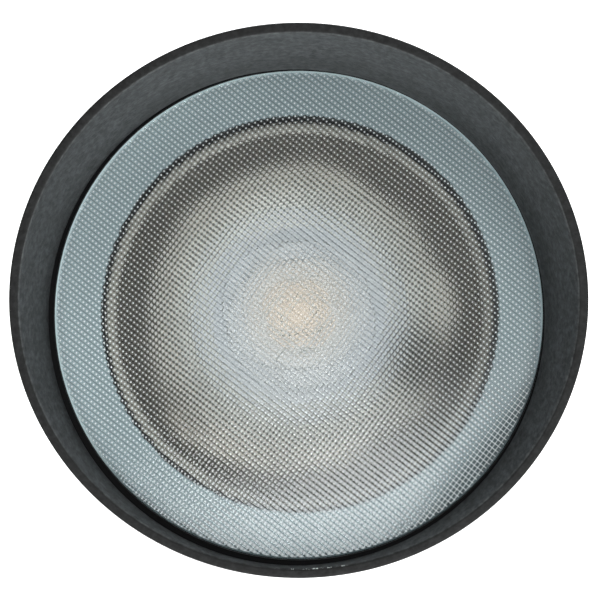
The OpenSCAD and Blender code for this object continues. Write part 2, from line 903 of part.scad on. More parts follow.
housing();
hood();
lens();
lens_gasket();
hood_screws();
reflector_ring();
reflector_bowl();
reflector_sheet();
cob_holder();
holder_screws();
led_board();
led_emitter();
thermal_pad();
spreader_plate();
plate_screws();
driver_module();
driver_screws();
lead_red();
lead_black();
lead_grommets();
wire_seal();
vent_plug();
knuckle_oring();
arm();
knuckle_bolt();
knuckle_washer();
swivel_screw();
stem_nipple();
swivel_oring();
locknut();
stem_gasket();
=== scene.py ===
# %% [markdown]
# # A landscape flood light, dressed for its portrait
# The solids of this light come ready-made from its construction model: a finned head on a tilting
# knuckle, and a threaded stem. This lesson gives them finishes, remakes the pieces whose form is
# too soft or too fine for plain solids, and sets up a small studio round them.
# The first step loads the solids. Their places are already right, so nothing is fitted by eye.

# %% Load the solids
import bpy
import numpy as np
from mathutils import Matrix


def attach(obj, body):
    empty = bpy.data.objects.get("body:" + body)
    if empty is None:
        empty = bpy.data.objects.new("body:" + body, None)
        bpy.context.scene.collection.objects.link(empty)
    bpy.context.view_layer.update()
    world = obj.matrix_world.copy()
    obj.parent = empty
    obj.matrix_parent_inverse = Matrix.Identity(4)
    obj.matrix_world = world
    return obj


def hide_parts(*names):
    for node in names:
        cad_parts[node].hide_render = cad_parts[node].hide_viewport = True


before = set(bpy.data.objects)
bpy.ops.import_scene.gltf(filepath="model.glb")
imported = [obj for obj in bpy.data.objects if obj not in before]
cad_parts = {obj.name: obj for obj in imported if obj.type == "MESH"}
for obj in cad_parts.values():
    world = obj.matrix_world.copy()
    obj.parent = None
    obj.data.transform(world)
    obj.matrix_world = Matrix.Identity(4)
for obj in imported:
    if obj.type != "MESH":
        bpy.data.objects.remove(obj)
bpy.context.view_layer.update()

# %% [markdown]
# ## The head's own directions
# The head looks up at 45 degrees, so its round pieces are awkward to write in the room's
# directions. They are written in the head's instead: x to the right seen from the front, y to the
# head's top, z out through the glass, with the origin on the glass. One function turns such points,
# in millimetres, into the room's metres.

# %% Head directions
MM, CM = 0.001, 0.01
PIVOT_HEIGHT, PIVOT_BACK = 74.0, 119.0
LEAN = np.radians(45.0)
HEAD_AXES = np.array([
    [1.0, 0.0, 0.0],
    [0.0, np.cos(LEAN), np.sin(LEAN)],
    [0.0, -np.sin(LEAN), np.cos(LEAN)],
])
GLASS_CENTRE = np.array([0.0, 0.0, PIVOT_HEIGHT]) + PIVOT_BACK * HEAD_AXES[2]


def from_head(points):
    """Head millimetres to room metres: each coordinate times its axis, plus the glass centre."""
    return (np.asarray(points, float) @ HEAD_AXES + GLASS_CENTRE) * MM


print("glass centre, metres:", np.round(GLASS_CENTRE * MM, 4))

# %% [markdown]
# ## The camera
# The photograph looks straight down the lens axis from about a metre, with the glass a little below
# the middle of the picture. A long lens gives that flat look. The glass shows 3.768 pixels to the
# millimetre in a picture of 600, which fixes the focal length once the distance is chosen.

# %% Camera
CAMERA_SIDE, CAMERA_UP, CAMERA_AWAY = 0.32, 3.98, 1000.0
PICTURE_PIXELS, PIXELS_PER_MM = 600, 3.768
SENSOR_MM = 36.0
NEAREST_M, FARTHEST_M = 0.05, 50.0

camera = bpy.data.objects.new("camera", bpy.data.cameras.new("camera"))
camera.data.sensor_width = SENSOR_MM
camera.data.lens = SENSOR_MM * PIXELS_PER_MM * CAMERA_AWAY / PICTURE_PIXELS
camera.data.clip_start, camera.data.clip_end = NEAREST_M, FARTHEST_M
turn = np.eye(4)
turn[:3, :3] = HEAD_AXES.T
turn[:3, 3] = from_head([CAMERA_SIDE, CAMERA_UP, CAMERA_AWAY])
camera.matrix_world = Matrix(turn.tolist())
bpy.context.scene.collection.objects.link(camera)
bpy.context.scene.camera = camera
print("focal length:", round(camera.data.lens, 1), "mm")

# %% [markdown]
# ## Meshes from arrays
# Every new piece below is a sheet of points worked out with numpy, which is fast and exact, and
# the helpers here turn such sheets into Blender meshes. The first lists the four-sided faces
# between neighbouring rows and columns, and the second cuts faces into triangles. The third fills
# the mesh in one go, turns the faces outwards where the volume comes out negative, and counts open
# edges, since a closed mesh has none.

# %% Mesh helpers
def grid_faces(rows, columns):
    """Corners of a grid's faces. Its last row meets the first, and so does its last column."""
    row, column = np.meshgrid(np.arange(rows), np.arange(columns), indexing="ij")
    below, beside = (row + 1) % rows, (column + 1) % columns
    corners = [row * columns + column, row * columns + beside,
               below * columns + beside, below * columns + column]
    return np.stack(corners, -1).reshape(-1, 4)


def as_triangles(faces):
    """Every face cut into a fan of triangles from its first corner."""
    return np.concatenate([np.stack([f[:, 0], f[:, i], f[:, i + 1]], -1)
                           for f in faces for i in range(1, f.shape[1] - 1)])


def make_piece(name, points, faces, finish, body, replaces, crease=30.0):
    """A mesh piece from points in metres and a list of face arrays, smooth up to the crease."""
    triangles = as_triangles(faces)
    a, b, c = (points[triangles[:, i]] for i in range(3))
    volume = np.einsum("ij,ij->", a, np.cross(b, c)) / 6
    if volume < 0:
        faces = [f[:, ::-1] for f in faces]
    corners = np.concatenate([f.ravel() for f in faces]).astype(np.int32)
    sides = np.concatenate([np.full(len(f), f.shape[1]) for f in faces])
    mesh = bpy.data.meshes.new(name)
    mesh.vertices.add(len(points))
    mesh.vertices.foreach_set("co", points.astype(np.float32).ravel())
    mesh.loops.add(len(corners))
    mesh.loops.foreach_set("vertex_index", corners)
    mesh.polygons.add(len(sides))
    mesh.polygons.foreach_set("loop_start", (np.cumsum(sides) - sides).astype(np.int32))
    mesh.update(calc_edges=True)
    mesh.validate()
    mesh.shade_smooth()
    mesh.set_sharp_from_angle(angle=np.radians(crease))
    mesh.materials.append(finish)
    edges = np.concatenate([np.stack([f, np.roll(f, -1, 1)], -1).reshape(-1, 2) for f in faces])
    uses = np.unique(np.sort(edges, 1), axis=0, return_counts=True)[1]
    piece = bpy.data.objects.new(name, mesh)
    bpy.context.scene.collection.objects.link(piece)
    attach(piece, body)
    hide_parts(*replaces)
    print(f"{name}: {len(triangles)} triangles, {abs(volume) / CM ** 3:.2f} cm3, "
          f"open edges {(uses != 2).sum()}")

# %% [markdown]
# ## Sections that are carried round
# The hood, the bowl and the stem are all one closed section carried round an axis. A corner of the
# section is never knife-sharp on a real casting, so it is drawn as a short curve, and long straight
# stretches get points of their own, so that a swelling has something to move.

# %% Section helpers
def ring(angles, radius, height, centre=(0.0, 0.0)):
    """A circle of points round the lens axis: radius times cosine and sine, at one height."""
    return np.stack([centre[0] + radius * np.cos(angles), centre[1] + radius * np.sin(angles),
                     np.full_like(angles, height)], -1)


def bend(before, corner, after, cut, steps=5):
    """A corner rounded by the curve (1-t)^2 a + 2t(1-t) corner + t^2 b, a and b lying cut away."""
    a = corner + cut * (before - corner) / np.linalg.norm(before - corner, axis=-1, keepdims=True)
    b = corner + cut * (after - corner) / np.linalg.norm(after - corner, axis=-1, keepdims=True)
    t = np.linspace(0, 1, steps)[:, None, None]
    return (1 - t) ** 2 * a + 2 * t * (1 - t) * corner + t ** 2 * b


def stretch(start, end, steps, lean=1.0):
    """Points between two rings, the ends left out, at shares t^lean of the way."""
    t = (np.linspace(0, 1, steps + 2)[1:-1] ** lean)[:, None, None]
    return start + t * (end - start)


def rings(angles, profile, centre=(0.0, 0.0)):
    """A profile of (radius, height) carried round an axis: one ring of points for each pair."""
    return np.stack([ring(angles, radius, height, centre) for radius, height in profile])

# %% [markdown]
# ## Building materials
# A finish here is a Principled shader fed by patterns that are computed, not drawn as images, and
# some of these patterns are painted light and shade. The first helper adds a node and fills or
# links its inputs in one line, and the others give short names to what is needed often, so that
# each finish reads like a recipe.

# %% Node helpers
def add(tree, kind, inputs=(), **settings):
    """Adds a node. Inputs go by socket name or number and hold a value or a node's output."""
    new = tree.nodes.new("ShaderNode" + kind)
    for key, value in settings.items():
        setattr(new, key, value)
    for key, value in dict(inputs).items():
        if isinstance(value, bpy.types.NodeSocket):
            tree.links.new(value, new.inputs[key])
        else:
            new.inputs[key].default_value = value
    return new


def compute(tree, operation, *values):
    """Arithmetic by a Math node, on numbers and other nodes' outputs."""
    return add(tree, "Math", dict(enumerate(values)), operation=operation).outputs[0]


def vector(tree, operation, *values, out="Vector"):
    """The same for points and directions. Lengths and dot products come out as Value."""
    return add(tree, "VectorMath", dict(enumerate(values)), operation=operation).outputs[out]


def pattern_group(name, inputs, outputs):
    """An empty node group, the sockets that bring its inputs and the sockets it has to fill."""
    group = bpy.data.node_groups.new(name, "ShaderNodeTree")
    for key, start in inputs.items():
        kind = "NodeSocketVector" if start is None else "NodeSocketFloat"
        socket = group.interface.new_socket(key, in_out="INPUT", socket_type=kind)
        if start is not None:
            socket.default_value = start
    for key in outputs:
        group.interface.new_socket(key, in_out="OUTPUT", socket_type="NodeSocketFloat")
    source, result = group.nodes.new("NodeGroupInput"), group.nodes.new("NodeGroupOutput")
    return group, source.outputs, result.inputs


def new_finish(name):
    """A material with a Principled shader, and the piece's own coordinates."""
    finish = bpy.data.materials.new(name)
    finish.use_nodes = True
    tree = finish.node_tree
    tree.nodes.clear()
    shader = add(tree, "BsdfPrincipled")
    output = add(tree, "OutputMaterial", {"Surface": shader.outputs[0]})
    place = add(tree, "TexCoord").outputs["Object"]
    return finish, tree, shader, output, place


def own_shader(finish):
    """A finish's node tree, its shader and the coordinates that feed it."""
    nodes = finish.node_tree.nodes
    return finish.node_tree, nodes["Principled BSDF"], nodes["Texture Coordinate"].outputs["Object"]


def mixed_colour(tree, share, first, second, blend="MIX"):
    """Two colours by a share. A Mix node holds colours in its inputs 6 and 7 and its output 2."""
    return add(tree, "Mix", {0: share, 6: first, 7: second}, data_type="RGBA",
               blend_type=blend).outputs[2]


def two_tones(tree, mask, dark, light):
    """A colour between two, by a mask."""
    return mixed_colour(tree, mask, (*dark, 1), (*light, 1))


def two_values(tree, mask, low, high):
    """A value between two, by a mask. Both can be numbers or other nodes' outputs."""
    return add(tree, "MapRange", {0: mask, 3: low, 4: high}).outputs[0]


def ramp(tree, value, start, end):
    """A straight rise from 0 at the start to 1 at the end."""
    return add(tree, "MapRange", {0: value, 1: start, 2: end}).outputs[0]


def between(tree, value, start, end, low=0.0, high=1.0):
    """A soft step from low at the start to high at the end."""
    return add(tree, "MapRange", {0: value, 1: start, 2: end, 3: low, 4: high},
               interpolation_type="SMOOTHSTEP").outputs[0]


def along(tree, place, direction, start=(0.0, 0.0, 0.0)):
    """How far a point lies along a direction, both in head terms, in mm from a starting point."""
    from_start = vector(tree, "SUBTRACT", place, tuple(from_head(start)))
    steps = tuple(np.asarray(direction, float) @ HEAD_AXES / MM)
    return vector(tree, "DOT_PRODUCT", from_start, steps, out="Value")


def off_axis(tree, place, start=(0.0, 0.0, 0.0)):
    """How far a point lies from the lens axis, or from a line beside it, in mm."""
    flat = add(tree, "CombineXYZ", {0: along(tree, place, (1, 0, 0), start),
                                    1: along(tree, place, (0, 1, 0), start)}).outputs[0]
    return vector(tree, "LENGTH", flat, out="Value")


def shade_by(tree, shader, mask, colour):
    """Multiplies a shader's colour by white where the mask is 0, and by the given colour at 1."""
    old = shader.inputs["Base Color"].links[0].from_socket
    shaded = mixed_colour(tree, 1.0, old, two_tones(tree, mask, (1, 1, 1), colour), "MULTIPLY")
    tree.links.new(shaded, shader.inputs["Base Color"])
    return shaded


def raise_by(tree, shader, height, depth_mm):
    """Feeds a height pattern of that depth to the shader's normal."""
    bump = add(tree, "Bump", {"Height": height, "Distance": depth_mm * MM})
    tree.links.new(bump.outputs[0], shader.inputs["Normal"])


def dress(finish, *nodes):
    """Gives a finish to solids that stay as they are."""
    for name in nodes:
        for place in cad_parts[name].material_slots:
            place.material = finish

# %% [markdown]
# ## Patterns that several finishes share
# Three effects come back again and again. Sand grain is the tiny hills of textured powder coat, and
# of rubber and plastic on a smaller scale. Turning lines are the fine rings that a lathe or a
# spinning tool leaves, which depend only on the distance from the axis and along it. Cloudiness is
# the slow change of tone that every real surface has. Each is a group with named inputs.

# %% Shared patterns
NOISE_SPREAD = 0.3, 0.7
GRAIN_SPREAD = 0.38, 0.62
BROAD_SCALE = 0.37


def make_sand_grain():
    """Fine hills from two noises, one grain across and three grains across."""
    group, source, result = pattern_group(
        "sand_grain", {"Place": None, "Grain mm": 0.3}, ["Height", "Speck"])
    scale = compute(group, "DIVIDE", 1 / MM, source["Grain mm"])
    fine = add(group, "TexNoise", {"Vector": source["Place"], "Scale": scale,
                                   "Detail": 2.0, "Roughness": 0.6}).outputs[0]
    broad_scale = compute(group, "MULTIPLY", scale, BROAD_SCALE)
    broad = add(group, "TexNoise", {"Vector": source["Place"], "Scale": broad_scale,
                                    "Detail": 1.0}).outputs[0]
    group.links.new(compute(group, "ADD", fine, broad), result["Height"])
    group.links.new(ramp(group, fine, *GRAIN_SPREAD), result["Speck"])
    return group


def make_turning_lines():
    """Noise along radius plus height, so that it is the same all round the axis."""
    group, source, result = pattern_group(
        "turning_lines", {"Place": None, "Pitch mm": 0.2}, ["Height", "Tone"])
    x, y, z = add(group, "SeparateXYZ", {0: source["Place"]}).outputs
    x_square, y_square = compute(group, "MULTIPLY", x, x), compute(group, "MULTIPLY", y, y)
    radius = compute(group, "SQRT", compute(group, "ADD", x_square, y_square))
    scale = compute(group, "DIVIDE", 1 / MM, source["Pitch mm"])
    line = compute(group, "MULTIPLY", compute(group, "ADD", radius, z), scale)
    noise = add(group, "TexNoise", {"W": line, "Scale": 1.0, "Detail": 3.0},
                noise_dimensions="1D").outputs[0]
    group.links.new(noise, result["Height"])
    group.links.new(ramp(group, noise, *NOISE_SPREAD), result["Tone"])
    return group


def make_cloudiness():
    """Slow noise, stretched to the full range from 0 to 1."""
    group, source, result = pattern_group(
        "cloudiness", {"Place": None, "Size mm": 20.0}, ["Cloud"])
    scale = compute(group, "DIVIDE", 1 / MM, source["Size mm"])
    noise = add(group, "TexNoise", {"Vector": source["Place"], "Scale": scale,
                                    "Detail": 4.0, "Roughness": 0.55}).outputs[0]
    group.links.new(ramp(group, noise, *NOISE_SPREAD), result["Cloud"])
    return group


SAND_GRAIN, TURNING_LINES, CLOUDINESS = make_sand_grain(), make_turning_lines(), make_cloudiness()


def use(tree, group, place, **values):
    """Places a shared pattern in a finish with its own values."""
    new = add(tree, "Group", node_tree=group)
    tree.links.new(place, new.inputs["Place"])
    for key, value in values.items():
        new.inputs[key.replace("_", " ")].default_value = value
    return new.outputs


print("patterns:", [g.name for g in bpy.data.node_groups])

# %% [markdown]
# ## Grained finishes: powder coat, rubber, plastics
# The castings wear a charcoal powder coat with a fine sand texture: dark, slightly blue, dull, with
# tiny hills that catch the light. Rubber and plastics are the same recipe with finer grain and
# other tones, so one function makes them all. Each line gives the dark and the light tone, the
# roughness, the grain and the hills' depth in millimetres, and the solids that wear the finish.

# %% Grained finishes
CLOUD_SHARE, ROUGHNESS_SWING = 0.35, 0.05


def grained(name, dark, light, roughness, grain_mm, depth_mm, *nodes, cloud_mm=18.0,
            speck_mm=None, specular=0.5):
    """Two tones by clouds and grains, roughness by clouds, and hills of that depth."""
    finish, tree, shader, _, place = new_finish(name)
    hills = use(tree, SAND_GRAIN, place, Grain_mm=grain_mm)["Height"]
    speck = use(tree, SAND_GRAIN, place, Grain_mm=speck_mm or grain_mm)["Speck"]
    cloud = use(tree, CLOUDINESS, place, Size_mm=cloud_mm)["Cloud"]
    mask = add(tree, "Mix", {0: CLOUD_SHARE, 2: speck, 3: cloud}).outputs[0]
    tree.links.new(two_tones(tree, mask, dark, light), shader.inputs["Base Color"])
    low, high = roughness - ROUGHNESS_SWING, roughness + ROUGHNESS_SWING
    tree.links.new(two_values(tree, cloud, low, high), shader.inputs["Roughness"])
    shader.inputs["Specular IOR Level"].default_value = specular
    raise_by(tree, shader, hills, depth_mm)
    dress(finish, *nodes)
    return finish


COAT = (0.03, 0.034, 0.036), (0.066, 0.075, 0.079), 0.62, 0.7, 0.1
COAT_GRAIN = dict(speck_mm=1.6, specular=0.2)
grained("powder_coat", *COAT, "housing", "arm", **COAT_GRAIN)
grained("black_rubber", (0.002, 0.002, 0.0022), (0.006, 0.006, 0.0065), 0.6, 0.2, 0.01,
        "lens_gasket", "lead_grommets", "wire_seal", "knuckle_oring", "swivel_oring",
        "stem_gasket", "lead_black", specular=0.08)
white_plastic = grained("white_plastic", (0.71, 0.715, 0.725), (0.78, 0.78, 0.77), 0.55, 0.2,
                        0.004, "cob_holder", specular=0.35)
grained("black_plastic", (0.012, 0.012, 0.013), (0.02, 0.02, 0.021), 0.4, 0.25, 0.015, "vent_plug")
grained("potting_resin", (0.015, 0.015, 0.016), (0.028, 0.028, 0.03), 0.3, 0.6, 0.01,
        "driver_module")
grained("red_insulation", (0.4, 0.02, 0.012), (0.5, 0.03, 0.02), 0.4, 0.15, 0.008, "lead_red")
grained("grey_pad", (0.3, 0.34, 0.38), (0.42, 0.46, 0.5), 0.7, 0.25, 0.02, "thermal_pad")
grained("white_sheet", (0.535, 0.595, 0.67), (0.73, 0.725, 0.72), 0.55, 0.2, 0.004,
        "reflector_sheet", cloud_mm=26.0, specular=0.35)
grained("solder_mask", (0.74, 0.74, 0.72), (0.82, 0.82, 0.8), 0.35, 0.3, 0.005, "led_board")
phosphor = grained("phosphor", (0.87, 0.73, 0.61), (0.93, 0.79, 0.66), 0.55, 0.12, 0.02,
                   "led_emitter", cloud_mm=6.0)
pale_ring = grained("pale_ring", (0.36, 0.465, 0.495), (0.43, 0.535, 0.56), 0.5, 0.15, 0.008,
                    "reflector_ring", cloud_mm=30.0)
print("grained finishes:", len(bpy.data.materials))

# %% [markdown]
# ## Painted glow on the light source, painted light and shade on the trim ring
# The light is off, yet its phosphor gets a painted glow, a very little light of its own, and the
# white holder round it a painted warm tint from that glow. The flat trim ring isn't one tone, and
# its tones are painted light and shade: painted light makes it paler outwards, a painted highlight
# keeps its outermost edge brighter than its flat, a thin line at its edge is lit at the upper left,
# and a painted shadow darkens the gap between it and the bowl. Each shade is a mask by distance
# from the axis, in millimetres.

# %% Light source and trim ring
GLOW_COLOUR, GLOW_STRENGTH = (1.0, 0.84, 0.7, 1), 0.06
GLOW_TINT_MIDDLE, GLOW_TINT_FADES = (0.0, 1.8, 0.0), (17.0, 5.0)
RING_PAINTED_LIGHT, RING_OUTER_HIGHLIGHT, RING_EDGE = (56.0, 62.0), (64.5, 63.9), (64.0, 64.5)
RING_LIT_SIDE, RING_LIT_FROM = (-0.7, 0.7, 0), (-15.0, 15.0)
GAP_SHADE_MIDDLE, GAP_SHADE_EDGE = (0.4, 0.2, 0.0), (53.15, 52.85)

# painted glow: the phosphor gives off a faint light though the light is switched off
tree, shader, place = own_shader(phosphor)
shader.inputs["Emission Color"].default_value = GLOW_COLOUR
shader.inputs["Emission Strength"].default_value = GLOW_STRENGTH

tree, shader, place = own_shader(white_plastic)
# painted warm light from the phosphor's glow on the white holder round it
painted_glow_tint = between(tree, off_axis(tree, place, GLOW_TINT_MIDDLE), *GLOW_TINT_FADES)
shade_by(tree, shader, painted_glow_tint, (1.0, 0.87, 0.75))

tree, shader, place = own_shader(pale_ring)
from_axis = off_axis(tree, place)
lit_side = between(tree, along(tree, place, RING_LIT_SIDE), *RING_LIT_FROM)
lit_edge = compute(tree, "MULTIPLY", between(tree, from_axis, *RING_EDGE), lit_side)
# painted shadow in the gap between the trim ring and the bowl
painted_gap_shade = between(tree, off_axis(tree, place, GAP_SHADE_MIDDLE), *GAP_SHADE_EDGE)
# painted light: the ring gets paler outwards
for mask, shade in ((between(tree, from_axis, *RING_PAINTED_LIGHT), (1.16, 1.15, 1.15)),
                    # painted highlight: the flat inside the outermost edge is dimmed, so the edge
                    # reads brighter
                    (between(tree, from_axis, *RING_OUTER_HIGHLIGHT), (0.7, 0.7, 0.7)),
                    (lit_edge, (1.3, 1.25, 1.22)),
                    (painted_gap_shade, (0.05, 0.05, 0.05))):
    shade_by(tree, shader, mask, shade)
print("the trim ring pales between", *RING_PAINTED_LIGHT, "mm")

# %% [markdown]
# ## Metals
# Screws, stem and plate are turned on a lathe, which leaves fine rings round their axis. The
# pattern needs the axis, so a Mapping node first moves and turns the coordinates until the piece's
# own axis is the z axis. The spun bowl has the same rings, but softer and polished.

# %% Metal finishes
METAL_CLOUD_MM = 9.0
SMOOTHER, ROUGHER = 0.06, 0.08
HEAD_AXIS, ROOM_AXIS = (LEAN, GLASS_CENTRE), (0.0, (0, 0, 0))   # lean and origin


def turned_metal(name, dark, light, roughness, pitch_mm, depth_mm, lean, origin_mm, *nodes):
    """Metal with turning rings round an axis through the origin, leaning by that angle from up."""
    finish, tree, shader, _, place = new_finish(name)
    centred = vector(tree, "SUBTRACT", place, tuple(np.array(origin_mm) * MM))
    turned = add(tree, "Mapping", {"Vector": centred, "Rotation": (-lean, 0, 0)}).outputs[0]
    lines = use(tree, TURNING_LINES, turned, Pitch_mm=pitch_mm)
    cloud = use(tree, CLOUDINESS, place, Size_mm=METAL_CLOUD_MM)["Cloud"]
    tree.links.new(two_tones(tree, cloud, dark, light), shader.inputs["Base Color"])
    tree.links.new(two_values(tree, lines["Tone"], roughness - SMOOTHER, roughness + ROUGHER),
                   shader.inputs["Roughness"])
    shader.inputs["Metallic"].default_value = 1.0
    raise_by(tree, shader, lines["Height"], depth_mm)
    dress(finish, *nodes)
    return finish


STEEL = (0.5, 0.5, 0.5), (0.6, 0.6, 0.6), 0.3, 0.25, 0.006
turned_metal("head_steel", *STEEL, *HEAD_AXIS, "hood_screws", "plate_screws", "driver_screws")
turned_metal("arm_steel", *STEEL, *ROOM_AXIS, "knuckle_bolt", "knuckle_washer", "swivel_screw")
turned_metal("holder_steel", (0.74, 0.75, 0.76), (0.82, 0.83, 0.84), 0.5, 0.25, 0.003, *HEAD_AXIS,
             "holder_screws")
turned_metal("plate_aluminium", (0.62, 0.62, 0.63), (0.72, 0.72, 0.73), 0.35, 0.35, 0.01,
             *HEAD_AXIS, "spreader_plate")
brass = turned_metal("brass", (0.5, 0.36, 0.15), (0.62, 0.47, 0.23), 0.32, 0.3, 0.006, *ROOM_AXIS,
                     "locknut")
spun_reflector = turned_metal("spun_reflector", (0.725, 0.72, 0.675), (0.805, 0.8, 0.75), 0.24,
                              0.5, 0.004, *HEAD_AXIS)
print("all finishes so far:", len(bpy.data.materials))

# %% [markdown]
# ## The bowl's wall and lip
# A spun bowl isn't one even mirror. Low down it is dulled and pale, higher up it is polished, and
# near its mouth painted shade makes it dark, with a brownish lip that gets painted light on its
# upper left. So height decides the tone, and clouds make its edges wander. At the lower left a
# painted gleam reaches further up, and one painted dark reflection lies on the right.

# %% Bowl's wall and lip
WANDER_MM = 9.0
PAINTED_DARK_WALL, POLISHED_WALL, LIP_HEIGHT = (-27.0, -15.5), (-41.0, -30.0), (-9.6, -9.0)
GLEAM_SIDE, GLEAM_FROM, GLEAM_DROP = (-0.5, -0.866, 0), (32.0, 46.0), -6.0
DARK_PATCH_MIDDLE, DARK_PATCH_EDGE = (34.0, -13.0, 0.0), (15.0, 4.0)
LIP_LIT_SIDE, LIP_LIT_FROM = (-0.77, 0.64, 0), (-40.0, 40.0)

tree, shader, place = own_shader(spun_reflector)
height = along(tree, place, (0, 0, 1))
# painted gleam: at the lower left the bright wall reaches further up
gleam = between(tree, along(tree, place, GLEAM_SIDE), *GLEAM_FROM, 0.0, GLEAM_DROP)
uneven = use(tree, CLOUDINESS, place, Size_mm=30.0)["Cloud"]
polish = compute(tree, "MULTIPLY_ADD", uneven, WANDER_MM, compute(tree, "ADD", height, gleam))
# painted shade: the wall darkens towards the mouth
shade_by(tree, shader, between(tree, polish, *PAINTED_DARK_WALL), (0.183, 0.182, 0.176))
# painted dark reflection: one darker patch on the wall at the right
painted_dark_patch = between(tree, off_axis(tree, place, DARK_PATCH_MIDDLE), *DARK_PATCH_EDGE)
wall_tone = shade_by(tree, shader, painted_dark_patch, (0.42, 0.42, 0.42))
# painted light: the lip is lighter on its upper left side
lip_lit = between(tree, along(tree, place, LIP_LIT_SIDE), *LIP_LIT_FROM)
lip_tone = two_tones(tree, lip_lit, (0.195, 0.187, 0.165), (0.29, 0.278, 0.245))
on_lip = ramp(tree, height, *LIP_HEIGHT)
tree.links.new(mixed_colour(tree, on_lip, wall_tone, lip_tone), shader.inputs["Base Color"])
polished = between(tree, polish, *POLISHED_WALL)
tree.links.new(two_values(tree, on_lip, polished, 0.0), shader.inputs["Metallic"])
print("the bowl darkens between heights", *PAINTED_DARK_WALL, "mm")

# %% [markdown]
# ## The glare hood
# On the real light the hood is a thin casting: a collar round the glass, a wall that widens towards
# a slanted rim, and four swellings where screws come up from behind. Solids give flat facets there,
# so the hood is made again as one closed section carried round. Two rings define it: a level one at
# the glass and a tilted one at the rim. The swellings push the wall out to a circle round each
# screw, with a soft maximum, so that they melt into it as a casting does.

# %% Glare hood: sizes
RIM_R, RIM_WIDTH = 75.0, 2.6
RIM_TILT = np.radians(16.8)
RIM_OUT, RIM_RISE = 27.0, 2.35
COLLAR_R, COLLAR_BACK, COLLAR_FRONT = 69.5, -6.0, 3.0
GASKET_R, GASKET_TOP = 67.5, 1.0
FOOT_R, FOOT_SHIFT = 65.7, (-0.6, -0.65)
SCREW_REACH, BOSS_R, BOSS_SHOULDER, BOSS_DOME = 70.3, 3.8, 8.0, 5.2
SCREW_ANGLES = np.radians([45.0, 135.0, 199.2857, 340.7143])
SPAN_DEG, SOFTNESS = 9, 0.9
BOSS_SPAN, BOSS_EDGE, NOT_BEHIND = np.radians([SPAN_DEG, 3, 20])
BOSS_RUN_OUT, BOSS_FADE = 6, 4


def rim_ring(angles, radius):
    """A circle in the rim's tilted plane: y shrinks by the tilt's cosine, z rises by its sine."""
    return np.stack([radius * np.cos(angles),
                     RIM_RISE + radius * np.sin(angles) * np.cos(RIM_TILT),
                     RIM_OUT + radius * np.sin(angles) * np.sin(RIM_TILT)], -1)


def swell_at_screws(points):
    """Radius becomes the soft maximum of the wall's and each boss's, seen from the lens axis."""
    x, y, z = points[..., 0], points[..., 1], points[..., 2]
    radius, angle = np.hypot(x, y), np.arctan2(y, x)
    dome = np.clip((z - BOSS_SHOULDER) / BOSS_DOME, 0, None)
    boss_square = BOSS_R ** 2 * (1 - dome ** 2)
    grown = radius
    for screw in SCREW_ANGLES:
        aside = (angle - screw + np.pi) % (2 * np.pi) - np.pi
        inside = boss_square - (SCREW_REACH * np.sin(aside)) ** 2
        boss = SCREW_REACH * np.cos(aside) + np.sign(inside) * np.sqrt(np.abs(inside))
        boss = np.where(np.abs(aside) < NOT_BEHIND, boss, 0.0)
        soft = (grown + boss + np.sqrt((grown - boss) ** 2 + SOFTNESS ** 2)) / 2
        fade = np.clip(BOSS_SPAN - np.abs(aside), 0, BOSS_EDGE) / BOSS_EDGE
        fade = fade * np.clip((BOSS_SHOULDER + BOSS_DOME + BOSS_RUN_OUT - z) / BOSS_FADE, 0, 1)
        grown = grown + fade * (soft - grown)
    return np.concatenate([points[..., :2] * (grown / radius)[..., None], points[..., 2:]], -1)

# %% [markdown]
# The hood's coat is the powder coat with more to it: mottled all over, with the blotches squeezed
# along the axis. Light and shade are painted on top: painted shade darkens it inside towards the
# glass, a painted highlight lightens it just under the rim, and painted shade makes the rim's flat
# face darkest. Tiny painted glints show on the rim's inner edge at the bottom. Their mask is a
# grain times four limits.

# %% Glare hood: finish
INNER_WALL_SHADE, MOTTLE_MM, SQUEEZE = (69.2, 66.0), 1.5, (1.0, 1.0, 0.45)
BELOW_RIM_HIGHLIGHT, RIM_FACE_SHADE = (-1.1, -0.5), (-0.25, -0.08)
RIM_GLINT_MM, RIM_GLINT_SHARE, RIM_GLINT_COLOUR = 0.8, (0.72, 0.9), (20.0, 20.0, 19.0)
RIM_GLINTS_FROM, RIM_GLINTS_TO, RIM_GLINTS_WITHIN = (-0.75, -0.45), (-0.1, -0.25), (68.4, 67.9)
RIM_GLINTS_SIDE, RIM_GLINTS_BEYOND = (0.045, -0.999, 0), (66.45, 66.6)

hood_coat = grained("hood_coat", *COAT, **COAT_GRAIN)
tree, shader, place = own_shader(hood_coat)
from_axis = off_axis(tree, place)
above_rim = along(tree, place, (0, -np.sin(RIM_TILT), np.cos(RIM_TILT)), (0, RIM_RISE, RIM_OUT))
turned = add(tree, "Mapping", {"Vector": place, "Rotation": (-LEAN, 0, 0)}).outputs[0]
mottle = use(tree, SAND_GRAIN, vector(tree, "MULTIPLY", turned, SQUEEZE), Grain_mm=MOTTLE_MM)
# painted shade: the inner wall darkens towards the glass
shade_by(tree, shader, between(tree, from_axis, *INNER_WALL_SHADE), (0.62, 0.62, 0.62))
shade_by(tree, shader, mottle["Speck"], (0.55, 0.55, 0.55))
# painted highlight: a lighter band just under the rim
shade_by(tree, shader, between(tree, above_rim, *BELOW_RIM_HIGHLIGHT), (1.4, 1.35, 1.3))
# painted shade: the rim's flat face is the darkest
shade_by(tree, shader, ramp(tree, above_rim, *RIM_FACE_SHADE), (0.185, 0.18, 0.178))
